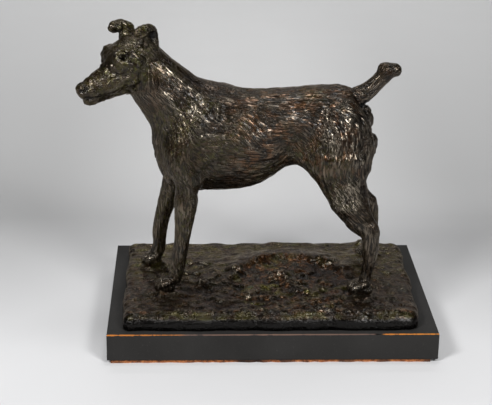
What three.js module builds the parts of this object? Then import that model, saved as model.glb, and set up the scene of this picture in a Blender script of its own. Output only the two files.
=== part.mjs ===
// A standing terrier and the rough ground under it, cast together, on a black board with a thin
// sheet beneath.
// Millimetres. Origin: middle of the underside. +X runs to the tail, +Y to the far side, +Z up.
import * as THREE from 'three'
import { SimplifyModifier } from 'three/addons/modifiers/SimplifyModifier.js'

// Sizes of the whole
const BOARD = { length: 330, depth: 228.4, bottom: 3, top: 31.3, worn: 0.9 }
const LINING = { length: 319, depth: 227, shift: -1.8, thick: 2.7, ragged: 1.3, teeth: 44 }
const GROUND = { under: 31.6, level: 45.5, half: 151.5, front: 107.5, back: 93, corner: 9 }
const WITHERS = 257.8
const STEP = 2.3
const FACETS = 9000
const WAX = 0.15

// Where the head sits, how far it is turned to the near side and how far it is dropped
const HEAD = { at: [-142, -6, 278], turn: 32, drop: 14 }

const rad = THREE.MathUtils.degToRad

// Joins two depths with a fillet of about k
const join = (a, b, k) => {
  const h = Math.max(k - Math.abs(a - b), 0) / k
  return Math.min(a, b) - h * h * k * 0.25
}
const cut = (a, b, k) => -join(-a, b, k)

// Three axes of a piece of the figure: forward, sideways, up
const level = [[1, 0, 0], [0, 1, 0], [0, 0, 1]]
const [ct, st, cd, sd] = [
  Math.cos(rad(HEAD.turn)), Math.sin(rad(HEAD.turn)), Math.cos(rad(HEAD.drop)), Math.sin(rad(HEAD.drop))]
const headAxes = [[-ct * cd, -st * cd, -sd], [st, -ct, 0], [-sd * ct, -sd * st, cd]]

const place = (origin, axes, [a, b, c]) => [0, 1, 2].map(
  i => origin[i] + a * axes[0][i] + b * axes[1][i] + c * axes[2][i])

// An egg with three half sizes
function ball(centre, half, axes = level) {
  const reach = Math.max(...half)
  const depth = (x, y, z) => {
    const d = [x - centre[0], y - centre[1], z - centre[2]]
    let near = 0, slope = 0
    for (let i = 0; i < 3; i++) {
      const q = (d[0] * axes[i][0] + d[1] * axes[i][1] + d[2] * axes[i][2]) / half[i]
      near += q * q
      slope += (q / half[i]) ** 2
    }
    near = Math.sqrt(near)
    return near * (near - 1) / (Math.sqrt(slope) + 1e-9)
  }
  return { depth, low: centre.map(v => v - reach), high: centre.map(v => v + reach) }
}

// Points of a smooth curve through knots of place and radius
function curve(knots, parts = 4) {
  if (knots.length < 3) return knots
  const out = []
  for (let i = 0; i + 1 < knots.length; i++) {
    const [a, b] = [knots[i], knots[i + 1]]
    const before = knots[i - 1], after = knots[i + 2]
    for (let j = 0; j < parts; j++) {
      const t = j / parts
      out.push(a.map((v, k) => {
        const m0 = before ? (b[k] - before[k]) / 2 : b[k] - v
        const m1 = after ? (after[k] - v) / 2 : b[k] - v
        return v * (1 + 2 * t) * (1 - t) ** 2 + m0 * t * (1 - t) ** 2 +
          b[k] * t * t * (3 - 2 * t) + m1 * t * t * (t - 1)
      }))
    }
  }
  out.push(knots[knots.length - 1])
  return out
}

// A rounded limb along knots [x, y, z, radius], flattened along its axes
function limb(knots, flat = [1, 1, 1], axes = level) {
  const points = curve(knots)
  const depth = (x, y, z) => {
    let best = null
    for (let i = 0; i + 1 < points.length; i++) {
      const [a, b] = [points[i], points[i + 1]]
      const run = [b[0] - a[0], b[1] - a[1], b[2] - a[2]]
      const q = [x - a[0], y - a[1], z - a[2]]
      const along = (q[0] * run[0] + q[1] * run[1] + q[2] * run[2]) /
        (run[0] ** 2 + run[1] ** 2 + run[2] ** 2)
      const t = Math.min(Math.max(along, 0), 1)
      let far = 0
      for (let k = 0; k < 3; k++) {
        const off = (q[0] - t * run[0]) * axes[k][0] + (q[1] - t * run[1]) * axes[k][1] +
          (q[2] - t * run[2]) * axes[k][2]
        far += (off / flat[k]) ** 2
      }
      const d = Math.sqrt(far) - (a[3] + (b[3] - a[3]) * t + WAX)
      best = best === null ? d : join(best, d, 2)
    }
    return best
  }
  const reach = Math.max(...knots.map(p => p[3])) * Math.max(...flat) + 1
  return {
    depth,
    low: [0, 1, 2].map(i => Math.min(...knots.map(p => p[i])) - reach),
    high: [0, 1, 2].map(i => Math.max(...knots.map(p => p[i])) + reach),
  }
}

// A smooth value at x through stations of which column 0 is the place
function through(stations, column, x) {
  let i = 0
  while (i < stations.length - 2 && stations[i + 1][0] < x) i++
  const [a, b] = [stations[i], stations[i + 1]]
  const before = stations[Math.max(i - 1, 0)], after = stations[Math.min(i + 2, stations.length - 1)]
  const h = b[0] - a[0]
  const m0 = (b[column] - before[column]) / (b[0] - before[0])
  const m1 = (after[column] - a[column]) / (after[0] - a[0])
  const t = Math.min(Math.max((x - a[0]) / h, 0), 1)
  return a[column] * (1 + 2 * t) * (1 - t) ** 2 + m0 * h * t * (1 - t) ** 2 +
    b[column] * t * t * (3 - 2 * t) + m1 * h * t * t * (t - 1)
}

// The trunk through stations [x, top, bottom, half width, height of the widest place]
function barrel(stations) {
  const first = stations[0][0], last = stations[stations.length - 1][0]
  const roundness = 2.15
  const depth = (x, y, z) => {
    const [top, bottom, wide, middle] = [1, 2, 3, 4].map(c => through(stations, c, x))
    const high = z > middle ? top - middle : middle - bottom
    const a = Math.abs(y) / wide, b = Math.abs(z - middle) / high
    const k = (a ** roundness + b ** roundness) ** (1 / roundness) + 1e-9
    const slope = Math.sqrt((a / wide) ** 2 + (b / high) ** 2) / k + 1e-9
    const d = Math.min(Math.max((k - 1) / slope, -40), 200)
    return Math.max(d, first - x, x - last)
  }
  const widest = Math.max(...stations.map(s => s[3]))
  return {
    depth,
    low: [first, -widest, Math.min(...stations.map(s => s[2]))],
    high: [last, widest, Math.max(...stations.map(s => s[1]))],
  }
}

// The figure is a list of forms, each joined to what stands before it, or cut from it
const forms = []
const add = (form, fillet) => forms.push({ ...form, fillet, out: false })
const carve = (form, fillet) => forms.push({ ...form, fillet, out: true })

// Trunk: chest, ribs, tuck of the belly, loin and croup
add(barrel([
  [-118.6, 195, 179, 5, 187], [-116, 204, 169, 13, 187], [-111, 214, 159, 21, 187],
  [-104, 229, 150, 29, 188], [-90, 250, 145, 36, 190], [-72, WITHERS, 144.2, 38, 191],
  [-50, 255, 144.4, 39, 192], [-30, 249.8, 146, 39, 195], [-12, 248, 151.5, 38, 198],
  [2, 249, 159.5, 36.5, 202], [14, 250.4, 168.6, 34, 207], [36, 252.5, 172.6, 30, 214],
  [55, 253, 174, 30, 216], [78, 251, 176, 30, 216], [86.5, 238, 184, 27, 215],
  [93, 225, 198, 18, 213]]), 1)
// Neck and breast
add(limb([[-72.7, 0, 206, 39.3], [-97, -1, 235.8, 33.2], [-120.4, -3, 262.8, 26.8]], [1, 0.8, 1]), 8)
add(ball([-100, -2, 203], [20.6, 22, 20]), 8)

// Shoulder blades, upper arms and elbows
for (const [side, back] of [[-1, 0], [1, -5]]) {
  add(limb([[-66 + back, 19 * side, 230, 11.5], [-92 + back, 29.5 * side, 190, 12.8],
    [-84 + back, 31 * side, 166, 11]]), 12)
  add(ball([-75 + back, 30.5 * side, 166], [7.6, 8, 10]), 4)
  carve(limb([[-42 + back, 40.4 * side, 189.4, 0.3], [-51 + back, 40.2 * side, 186.4, 0.5],
    [-59 + back, 39.6 * side, 181.8, 0.8], [-66.6 + back, 38.6 * side, 175, 1.2],
    [-73.7 + back, 41.4 * side, 166.6, 0.8]]), 6)
}

// A paw at the end of a leg: a low pad under four long toes, turned out by some degrees
const TOES = [[-6.6, 2.6], [-2.3, 6], [2.3, 6], [6.6, 2.6]]
function paw([x, y, z], out, long = 0) {
  const a = rad(180 + out)
  const axes = [[Math.cos(a), Math.sin(a), 0], [-Math.sin(a), Math.cos(a), 0], [0, 0, 1]]
  const at = (ahead, side, up) => place([x, y, z], axes, [ahead, side, up])
  add(ball(at(0, 0, -3), [9.5 + long / 2, 8.4, 5.6], axes), 4)
  for (const [side, ahead] of TOES) {
    add(limb([[...at(-6, side * 0.4, 4.6), 2], [...at(ahead - 5.5 + long / 2, side * 0.8, 3), 2.6],
      [...at(ahead + long, side, 0.2), 2.9], [...at(ahead + 3 + long, side * 1.04, -3.6), 2.4]]), 1)
  }
}

// Forelegs: the near one stands a little behind the far one
const SLIM = [1, 0.85, 1]
add(limb([[-84, -31, 168, 12.5], [-86.5, -33, 150, 10.4], [-86.8, -34, 138, 11.2], [-89.3, -34.5, 114, 8.2],
  [-91.2, -35, 98, 7], [-93.6, -35, 82, 7], [-95.4, -35, 70, 6.2], [-98.5, -36, 58, 6.6]], SLIM), 5)
paw([-107.5, -36.5, 52], -8)
add(limb([[-88, 30, 168, 14], [-96, 31, 152, 12.5], [-102.5, 32, 132, 10], [-110.4, 32.5, 107, 8.2],
  [-115, 33, 84, 7], [-116, 33.5, 66, 6.1], [-119, 34, 56, 6.4]], SLIM), 5)
paw([-123.5, 34, 51.5], 6)

// Hind legs: haunch, thigh, fold of the flank, hamstring, hock and shank
for (const [side, out, back] of [[-1, 45, 0], [1, 44, 5]]) {
  add(ball([68, 18 * side, 205], [31, 21, 38]), 10)
  add(limb([[66 + back, 23 * side, 205, 27], [66 + back, 28 * side, 181, 27.5],
    [74 + back, 33 * side, 156, 20.5], [87.5 + back, (out - 5) * side, 126, 14],
    [100.4 + back * 1.2, (out - 2) * side, 112, 8.4]], [1, 0.62, 1]), 8)
  add(limb([[28.6, 20 * side, 187.6, 9.4], [49, 27 * side, 176, 9.5]]), 10)
  add(limb([[91 + back * 0.4, 22 * side, 196, 12], [90 + back * 0.6, 27 * side, 176, 9.5]]), 10)
  add(limb([[101.2 + back * 1.7, (out - 2) * side, 115 - back / 2, 7.6],
    [101.4 + back * 2, (out + back * 0.2) * side, 98, 7.8],
    [100.8 + back * 2.7, (out + back * 0.7) * side, 80, 6.3],
    [98.4 + back * 3.1, (out + back * 1.2) * side, 67, 5],
    [96.5 + back * 3.3, (out + 0.5 + back * 1.3) * side, 58, 5.4]], SLIM), 4)
  carve(limb([[83, 22.8 * side, 241, 0.3], [87.9, 26.6 * side, 232.8, 0.5], [88.4, 34.5 * side, 217.5, 0.6],
    [90.5, 37.4 * side, 201.7, 0.7], [92.6, 38.2 * side, 187, 0.6], [93.6, 38.8 * side, 174, 0.3]]), 4)
  carve(limb([[50, 30.4 * side, 239, 0.1], [46.4, 33 * side, 231, 0.2], [45, 37 * side, 220, 0.3],
    [46, 40 * side, 208, 0.3], [49.6, 42.6 * side, 196, 0.1]]), 5)
  paw([94 + back * 3.2, (out + 1.5 + back * 1.3) * side, 53 - back / 2], 5 * side, 3.5 - back / 2)
}

// Docked tail, raised, blunt at its tip; the seat under it
add(limb([[80, 0, 238, 10.5], [97, 0, 248.4, 7.9], [109, 0, 260, 7.1], [116, 0, 267.8, 7.5]]), 4)
add(limb([[113.8, 0, 270, 7.6], [124, 0, 270, 6.5]]), 3)
for (const side of [-1, 1]) add(ball([87, 9 * side, 209], [13, 14, 20]), 7)
add(ball([95, 0, 189], [11, 15, 17]), 7)
// Tufts on the seat
const SEAT_LUMPS = [[95.2, -5, 225, 7.4], [99.4, 5, 216, 7.4], [102, -7, 196, 8], [103.5, 6, 185, 7.5]]
for (const [x, y, z, r] of SEAT_LUMPS) {
  add(ball([x, y, z], [r * 0.8, r, r * 1.2]), 4)
}

// Head, in its own axes: ahead, to the near side, up
const inHead = p => place(HEAD.at, headAxes, p)
const headBall = (centre, half, fillet) => add(ball(inHead(centre), half, headAxes), fillet)
const headForm = (knots, fillet, flat = [1, 1, 1]) =>
  add(limb(knots.map(p => [...inHead(p.slice(0, 3)), p[3]]), flat, headAxes), fillet)
const headCut = (knots, fillet, flat = [1, 1, 1]) =>
  carve(limb(knots.map(p => [...inHead(p.slice(0, 3)), p[3]]), flat, headAxes), fillet)
headBall([-3, 0, 2.2], [27, 21.5, 23.5], 10)
headBall([-15, 0, -10], [19, 20, 22], 10)
headBall([10, 0, 8.5], [15.5, 15, 12.5], 7)
headBall([0, 0, -17], [15, 14, 12.6], 8)
// Brows, cheeks and cheekbones
for (const side of [-1, 1]) {
  headBall([14, 11.2 * side, 12.8], [8.8, 7.6, 7.6], 4)
  headBall([1, 12 * side, -8], [18, 10, 14], 7)
  headForm([[20, 11.5 * side, 6, 3.4], [10, 15 * side, 5.5, 4.2], [-4, 18 * side, 4.5, 4.6]], 5)
}
// Muzzle, nose and lower jaw
headForm([[12, 0, -4.5, 17.5], [34, 0, -5.6, 11.8], [53, 0, -6.6, 8.3]], 6, [1, 0.8, 1])
headBall([57.5, 0, -4], [5, 6.3, 5.2], 2.5)
headForm([[-2, 0, -17, 11.5], [26, 0, -17.4, 8.2], [53, 0, -18, 6]], 4, [1, 0.95, 1])
// Lips, the line of the mouth, the eyes in their sockets and the fold behind the cheek
for (const side of [-1, 1]) {
  headForm([[14, 13.5 * side, -7, 9], [33, 9.6 * side, -9.4, 8], [48, 6.2 * side, -10.2, 6.4],
    [57, 3 * side, -9.2, 4.8]], 3, [1, 0.55, 1])
  headCut([[26, 14.5 * side, -17.5, 0.8], [38, 11.6 * side, -17.6, 1.2], [50, 8.2 * side, -16.2, 1.2],
    [59, 4.4 * side, -13.6, 1.1]], 1.5)
  carve(ball(inHead([14.6, 18 * side, 16.4]), [5.4, 3.8, 3.4], headAxes), 2)
  headBall([13.3, 12 * side, 15.7], [4.3, 4.1, 4.3], 0.6)
  headCut([[-9, 23 * side, 10, 1], [-3, 24.8 * side, 3, 1.4], [1, 25.2 * side, -4, 1.4],
    [5, 24.2 * side, -12, 1.4], [9, 19.6 * side, -20, 1.1]], 5)
}

// Ears: raised shells, open outwards, with the flap folded forward over the opening
function ear(side, shell, hollow, flap) {
  const out = knots => knots.map(([a, b, c, r]) => [a, b * side, c, r])
  headBall([shell[0][0], 14.5 * side, 10], [8.4, 7, 12], 7)
  headForm(out(shell), 6, [1, 0.55, 1])
  headForm(out(flap), 1.8, [1, 0.8, 1])
  headCut(out(hollow), 1.6, [1, 0.8, 1])
}
ear(1, [[-17, 16.5, 8, 6.4], [-18.2, 19.5, 18, 6.6], [-19.6, 21, 26, 6], [-21, 21.4, 31, 4.6]],
  [[-18, 25, 18.5, 2], [-18.8, 25.6, 24, 3.4], [-18.4, 26, 29.5, 3.4]],
  [[-21.6, 22, 30.6, 4], [-16.3, 23.2, 34.7, 4.7], [-9.2, 24, 36.2, 5], [-3.6, 24.5, 36.8, 3.7]])
headForm([[-11.4, 22.4, 31.5, 2.2], [-12.2, 22, 25.5, 2.1], [-12.4, 19.6, 19, 2.6]], 1.8)
ear(-1, [[-12.5, 15.5, 8, 8.4], [-13, 18.8, 19, 8], [-15, 20.6, 26, 6.4]],
  [[-12, 23.5, 16, 2], [-13, 25.8, 21, 4], [-13.5, 27, 25, 4]],
  [[-18.5, 20.6, 26.8, 4.5], [-11.1, 22.4, 30.6, 5.2], [-4.6, 23.2, 32.2, 4.7], [-1.6, 23.6, 32.4, 3.6]])

// The ground: a bank that curves round a rough hollow, a rim along the front, swells, ridges, roughness
const BANK = { x: 22, y: -33, rx: 64, ry: 74, high: 8, inner: 0.11, outer: 0.36 }
const SWELLS = [
  [3.4, -50, -98, 90, 8], [3, 85, -97, 70, 8], [-2.5, -30, 70, 130, 14], [1, 40, 86, 60, 10],
  [-1.2, 130, 0, 20, 60], [-1.6, -95, 0, 22, 18], [1.5, 118, 30, 18, 14], [-1.8, 55, -20, 18, 22],
  [2.4, -107, -37, 17, 14], [2.2, -122, 34, 17, 14], [2.6, 92, -47, 18, 14], [7, 110, 54, 17, 14],
  [9, 109, 82, 7, 9], [3.4, -33, 0, 7, 6], [4, 8, -7, 7, 6], [2.6, 36, 6, 8, 6], [2.4, -12, -52, 12, 8], [2.2, 62, -54, 9, 8],
  [1.8, 126, -98, 12, 7]]
const RIDGES = [
  [2.6, 14, -2, 21, -32, 5], [2.6, 21, -32, 38, -52, 5], [2.2, -93, -22, -70, -32, 5],
  [2.2, -70, -32, -50, -12, 6], [2, -64, -62, -46, -72, 5], [1.8, -112, -50, -88, -54, 5],
  [1.6, -86, 40, -44, 14, 7], [1.6, -104, 10, -60, 4, 6], [1.8, 70, -60, 98, -68, 5],
  [1.4, 104, -10, 140, -30, 8]]
const RIPPLES = [
  [0.35, 33, 20], [0.3, 29, 78], [0.3, 37, 133], [0.3, 17, 52], [0.3, 15, 105], [0.3, 19, 163]]
function groundTop(x, y) {
  let z = GROUND.level
  const out = Math.hypot((x - BANK.x) / BANK.rx, (y - BANK.y) / BANK.ry) - 1
  const fall = Math.exp(-((out / (out < 0 ? BANK.inner : BANK.outer)) ** 2))
  z += BANK.high * fall * Math.min(Math.max(0.62 + y / 60, 0.12), 1)
  for (const [rise, cx, cy, rx, ry] of SWELLS) {
    z += rise * Math.exp(-(((x - cx) / rx) ** 2) - ((y - cy) / ry) ** 2)
  }
  for (const [rise, ax, ay, bx, by, wide] of RIDGES) {
    const along = ((x - ax) * (bx - ax) + (y - ay) * (by - ay)) / ((bx - ax) ** 2 + (by - ay) ** 2)
    const t = Math.min(Math.max(along, 0), 1)
    const off = (x - ax - t * (bx - ax)) ** 2 + (y - ay - t * (by - ay)) ** 2
    z += rise * Math.exp(-off / wide ** 2)
  }
  RIPPLES.forEach(([rise, span, angle], i) => {
    const u = x * Math.cos(rad(angle)) + y * Math.sin(rad(angle))
    const v = y * Math.cos(rad(angle)) - x * Math.sin(rad(angle))
    const sway = 1.2 * Math.sin(2 * Math.PI * v / (span * 1.6) + i)
    z += rise * Math.sin(2 * Math.PI * u / span + i * 1.7 + sway)
  })
  return z
}
// The slab's side stands nearly upright and rolls over into the top
function groundDepth(x, y, z) {
  const { half, front, back, corner } = GROUND
  const waver = 1.6 * Math.sin(x * 0.071 + 1) + 1.1 * Math.sin(x * 0.167 + y * 0.05) +
    0.9 * Math.sin(y * 0.11 + 2)
  const s = (z - GROUND.under) / 17
  const roll = s ** 3 + 0.16 * (1 - s) ** 2
  const narrowing = x > 0 ? 1.2 + 0.00013 * (back - y) ** 2 : 0
  const end = half + 1.2 * Math.sin(y * 0.09 + (x > 0 ? 2 : 0)) - 4 * roll - narrowing
  const edge = y < 0 ? front + 0.4 * waver - 6.5 * roll : back + 0.6 * waver - 6 * roll
  const fx = Math.abs(x - 1) - end + corner
  const fy = Math.abs(y) - edge + corner
  const side = Math.hypot(Math.max(fx, 0), Math.max(fy, 0)) - corner + Math.min(Math.max(fx, fy), 0)
  const d = cut(side, -(z - groundTop(x, y)) * 0.93, 6)
  return Math.max(d, GROUND.under - z)
}
add({ depth: groundDepth, low: [-156, -112, 28], high: [158, 102, 62] }, 3)

// Depth of the whole figure on a grid of nodes
const low = [-206, -116, GROUND.under - 2 * STEP + 0.6]
const count = [368, 222, 300].map(reach => Math.ceil(reach / STEP) + 1)
const node = (i, j, k) => (i * count[1] + j) * count[2] + k
const depths = new Float64Array(count[0] * count[1] * count[2]).fill(1e3)
for (const form of forms) {
  const margin = form.fillet + 3 * STEP
  const from = low.map((v, i) => Math.max(0, Math.floor((form.low[i] - margin - v) / STEP)))
  const to = low.map((v, i) => Math.min(count[i] - 1, Math.ceil((form.high[i] + margin - v) / STEP)))
  for (let i = from[0]; i <= to[0]; i++) {
    for (let j = from[1]; j <= to[1]; j++) {
      for (let k = from[2]; k <= to[2]; k++) {
        const d = form.depth(low[0] + i * STEP, low[1] + j * STEP, low[2] + k * STEP)
        const n = node(i, j, k)
        depths[n] = form.out ? cut(depths[n], d, form.fillet) : join(depths[n], d, form.fillet)
      }
    }
  }
}

// The surface of the figure: each cube of the grid is six tetrahedra round its diagonal
function surface() {
  const positions = [], index = []
  const made = new Map()
  const corners = [0, 1, 2, 3, 4, 5, 6, 7].map(c => [c & 1, (c >> 1) & 1, c >> 2])
  const offset = corners.map(([a, b, c]) => node(a, b, c))
  const orders = [[1, 2, 4], [2, 4, 1], [4, 1, 2], [1, 4, 2], [4, 2, 1], [2, 1, 4]]
  const tets = orders.map(([a, b]) => [0, a, a | b, 7])
  const crossing = (cell, base, a, b) => {
    if (a > b) [a, b] = [b, a]
    const key = (base + offset[a]) * 8 + (b - a)
    if (made.has(key)) return made.get(key)
    const [da, db] = [depths[base + offset[a]], depths[base + offset[b]]]
    const t = Math.min(Math.max(da / (da - db), 0.06), 0.94)
    for (let m = 0; m < 3; m++) {
      const [pa, pb] = [cell[m] + corners[a][m], cell[m] + corners[b][m]]
      positions.push(low[m] + STEP * (pa + t * (pb - pa)))
    }
    made.set(key, positions.length / 3 - 1)
    return positions.length / 3 - 1
  }
  const face = (cell, a, b, c, inner) => {
    const p = v => positions.slice(3 * v, 3 * v + 3)
    const [pa, pb, pc] = [p(a), p(b), p(c)]
    const u = pb.map((v, m) => v - pa[m]), w = pc.map((v, m) => v - pa[m])
    const away = pa.map((v, m) => v - (low[m] + STEP * (cell[m] + corners[inner][m])))
    const n = [u[1] * w[2] - u[2] * w[1], u[2] * w[0] - u[0] * w[2], u[0] * w[1] - u[1] * w[0]]
    const facing = n[0] * away[0] + n[1] * away[1] + n[2] * away[2]
    index.push(a, ...(facing > 0 ? [b, c] : [c, b]))
  }
  for (let i = 0; i + 1 < count[0]; i++) {
    for (let j = 0; j + 1 < count[1]; j++) {
      for (let k = 0; k + 1 < count[2]; k++) {
        const base = node(i, j, k), cell = [i, j, k]
        const inside = offset.map(o => depths[base + o] < 0)
        if (inside.every(v => v === inside[0])) continue
        for (const tet of tets) {
          const ins = tet.filter(c => inside[c]), outs = tet.filter(c => !inside[c])
          if (!ins.length || !outs.length) continue
          const x = (a, b) => crossing(cell, base, a, b)
          if (ins.length === 1) {
            face(cell, x(ins[0], outs[0]), x(ins[0], outs[1]), x(ins[0], outs[2]), ins[0])
          } else if (ins.length === 3) {
            face(cell, x(ins[0], outs[0]), x(ins[1], outs[0]), x(ins[2], outs[0]), ins[0])
          } else {
            const [p, q] = [x(ins[0], outs[0]), x(ins[0], outs[1])]
            const [r, s] = [x(ins[1], outs[1]), x(ins[1], outs[0])]
            face(cell, p, q, r, ins[0])
            face(cell, p, r, s, ins[0])
          }
        }
      }
    }
  }
  const geometry = new THREE.BufferGeometry()
  geometry.setAttribute('position', new THREE.Float32BufferAttribute(positions, 3))
  geometry.setIndex(index)
  return geometry
}

// Whether each edge of a surface is shared by two faces
function closed(geometry) {
  const shared = new Map()
  const corner = geometry.index.array
  for (let i = 0; i < corner.length; i++) {
    const [a, b] = [corner[i], corner[i % 3 === 2 ? i - 2 : i + 1]]
    const key = Math.min(a, b) * 1e6 + Math.max(a, b)
    shared.set(key, (shared.get(key) || 0) + 1)
  }
  return [...shared.values()].every(times => times === 2)
}

// The same surface with facets that are large where it is flat and small where it bends
async function faceted(fine) {
  for (let facets = FACETS; facets > FACETS * 0.9; facets -= 60) {
    const spare = fine.attributes.position.count - facets / 2
    const coarse = await new SimplifyModifier().modify(fine, spare)
    if (closed(coarse)) return coarse
  }
  throw new Error('no closed surface was found')
}
const terrier = await faceted(surface())

// The board: square, with a small worn bevel along its upper and lower edges
function board() {
  const { length, depth, bottom, top, worn } = BOARD
  const outline = new THREE.Shape()
  const [a, b] = [length / 2 - worn, depth / 2 - worn]
  outline.moveTo(-a, -b)
  outline.lineTo(a, -b)
  outline.lineTo(a, b)
  outline.lineTo(-a, b)
  outline.closePath()
  const sides = { depth: top - bottom - 2 * worn }
  const bevel = { bevelEnabled: true, bevelThickness: worn, bevelSize: worn, bevelSegments: 2 }
  return new THREE.ExtrudeGeometry(outline, { ...sides, ...bevel }).translate(0, 0, bottom + worn)
}

// The sheet under the board: short of its edges, torn along them
function lining() {
  const { length, depth, shift, thick, ragged, teeth } = LINING
  const outline = new THREE.Shape()
  const [a, b] = [length / 2, depth / 2]
  const corners = [[-a, -b], [a, -b], [a, b], [-a, b]]
  corners.forEach(([x, y], side) => {
    const [nx, ny] = corners[(side + 1) % 4]
    for (let i = 0; i < teeth; i++) {
      const t = i / teeth
      const s = side * 5 + i
      const wave = 0.5 + 0.5 * Math.sin(s * 2.3 + 1.4 * Math.sin(s * 0.9))
      const tear = ragged * wave * Math.min(1, 8 * t * (1 - t))
      const px = x + (nx - x) * t - Math.sign(ny - y) * tear * (side % 2)
      const py = y + (ny - y) * t + Math.sign(nx - x) * tear * ((side + 1) % 2)
      if (side || i) outline.lineTo(px, py)
      else outline.moveTo(px, py)
    }
  })
  outline.closePath()
  return new THREE.ExtrudeGeometry(outline, { depth: thick, bevelEnabled: false }).translate(shift, 0, 0)
}

const piece = (name, geometry, color, roughness, metalness) => {
  const finish = new THREE.MeshStandardMaterial({ color, roughness, metalness })
  const mesh = new THREE.Mesh(geometry, finish)
  mesh.name = name
  return mesh
}

const group = new THREE.Group()
group.name = 'dog_sculpture'
group.add(
  piece('bronze_terrier', terrier, '#4a3f31', 0.38, 0.85),
  piece('plinth_board', board(), '#2b2a29', 0.55, 0),
  piece('underside_lining', lining(), '#a3623a', 0.95, 0))

export default group
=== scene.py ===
import bpy, bmesh, math
import numpy as np
from mathutils import Matrix, Vector


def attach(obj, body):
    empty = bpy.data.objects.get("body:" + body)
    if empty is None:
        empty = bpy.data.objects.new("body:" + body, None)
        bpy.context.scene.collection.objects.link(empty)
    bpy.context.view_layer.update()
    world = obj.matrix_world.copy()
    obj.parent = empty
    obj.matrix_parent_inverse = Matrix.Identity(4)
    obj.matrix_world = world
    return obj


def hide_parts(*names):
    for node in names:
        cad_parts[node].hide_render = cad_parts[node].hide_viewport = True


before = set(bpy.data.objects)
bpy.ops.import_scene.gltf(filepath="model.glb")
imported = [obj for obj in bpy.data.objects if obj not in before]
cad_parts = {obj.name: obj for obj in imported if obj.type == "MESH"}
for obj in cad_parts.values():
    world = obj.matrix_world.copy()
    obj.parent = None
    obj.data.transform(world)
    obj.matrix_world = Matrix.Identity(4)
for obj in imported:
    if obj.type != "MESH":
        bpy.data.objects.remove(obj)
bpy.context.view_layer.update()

MM = 0.001

# Camera: the photograph's own view, 1.4 m away and looking 21 degrees down. Place in mm, turns in radians,
# focal length and width of the sensor in mm
EYE = (-79.31, -1356.55, 649.98)
YAW, PITCH, ROLL = -0.040278, 0.36759, 0.013986
LENS, SENSOR = 102.44, 36


def stand_camera():
    right = Vector((math.cos(YAW), math.sin(YAW), 0))
    ahead = Vector((-math.sin(YAW) * math.cos(PITCH), math.cos(YAW) * math.cos(PITCH), -math.sin(PITCH)))
    up = right.cross(ahead)
    tilted = [math.cos(ROLL) * right + math.sin(ROLL) * up, math.cos(ROLL) * up - math.sin(ROLL) * right]
    camera = bpy.data.objects.new("camera", bpy.data.cameras.new("camera"))
    camera.data.lens = LENS
    camera.data.sensor_width = SENSOR
    camera.matrix_world = Matrix.Translation(Vector(EYE) * MM) @ Matrix([*zip(*tilted, -ahead)]).to_4x4()
    bpy.context.collection.objects.link(camera)
    bpy.context.scene.camera = camera


stand_camera()


# Materials
def colour(hex_value):
    """sRGB hex to the linear colour that a shader works in."""
    parts = [int(hex_value[i:i + 2], 16) / 255 for i in (1, 3, 5)]
    return (*[p / 12.92 if p <= 0.04045 else ((p + 0.055) / 1.055) ** 2.4 for p in parts], 1)


# Settings that nodes share
TIMES, MINUS, SMOOTH = {"operation": "MULTIPLY"}, {"operation": "SUBTRACT"}, {"interpolation_type": "SMOOTHSTEP"}


def add(tree, kind, settings=None, **inputs):
    """One node with its settings, its colour stops and its inputs, each a value, an output that feeds it, or a
    node whose first output does."""
    node = tree.nodes.new(kind)
    for name, value in (settings or {}).items():
        if name != "stops":
            setattr(node, name, value)
            continue
        stops = node.color_ramp.elements
        while len(stops) < len(value):
            stops.new(1)
        for stop, (position, shade) in zip(stops, value):
            stop.position = position
            stop.color = colour(shade) if isinstance(shade, str) else (shade, shade, shade, 1)
    for name, value in inputs.items():
        key = int(name[1:]) if name[0] == "_" else name.replace("_", " ")
        if isinstance(value, bpy.types.Node):
            value = value.outputs[0]
        if isinstance(value, bpy.types.NodeSocket):
            tree.links.new(value, node.inputs[key])
        else:
            node.inputs[key].default_value = value
    return node


def material(name):
    made = bpy.data.materials.new(name)
    made.use_nodes = True
    tree = made.node_tree
    tree.nodes.clear()
    return made, tree, add(tree, "ShaderNodeTexCoord").outputs["Object"]


# Directions in which the wire tool was drawn through the wax, in degrees from level
RAKES = (0, 45, 90, 135)
# Spacing of the tool's lines and their length before the next stroke, in mm
LINE_SPACING, LINE_LENGTH = 1.35, 11.0


def tool_lines(tree, place, lay):
    """Lines of a wire tool in soft wax, along whichever of the four directions the coat lies in there."""
    shares = [*add(tree, "ShaderNodeSeparateColor", Color=lay).outputs, lay.outputs["Alpha"]]
    total = 0.5
    for angle, share in zip(RAKES, shares):
        turned = add(tree, "ShaderNodeMapping", {"vector_type": "TEXTURE"}, Vector=place,
                     Rotation=(0, -math.radians(angle), 0), Scale=(LINE_LENGTH / LINE_SPACING, 1, 1))
        drawn = add(tree, "ShaderNodeTexNoise", Vector=turned, Scale=1000 / LINE_SPACING, Detail=2.0,
                    Roughness=0.55, Distortion=0.25)
        away = add(tree, "ShaderNodeMath", MINUS, _0=drawn, _1=0.5)
        total = add(tree, "ShaderNodeMath", {"operation": "MULTIPLY_ADD"}, _0=away, _1=share, _2=total)
    return add(tree, "ShaderNodeMapRange", SMOOTH, Value=total, From_Min=0.42, From_Max=0.55)


# One fleck of turquoise verdigris in front of the hollow: its middle, and how far from it the colour ends and
# is full, in m
VERDIGRIS_REACH, VERDIGRIS_FULL = 0.0045, 0.002
VERDIGRIS_AT = (-0.021, -0.034, 0.048)


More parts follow.
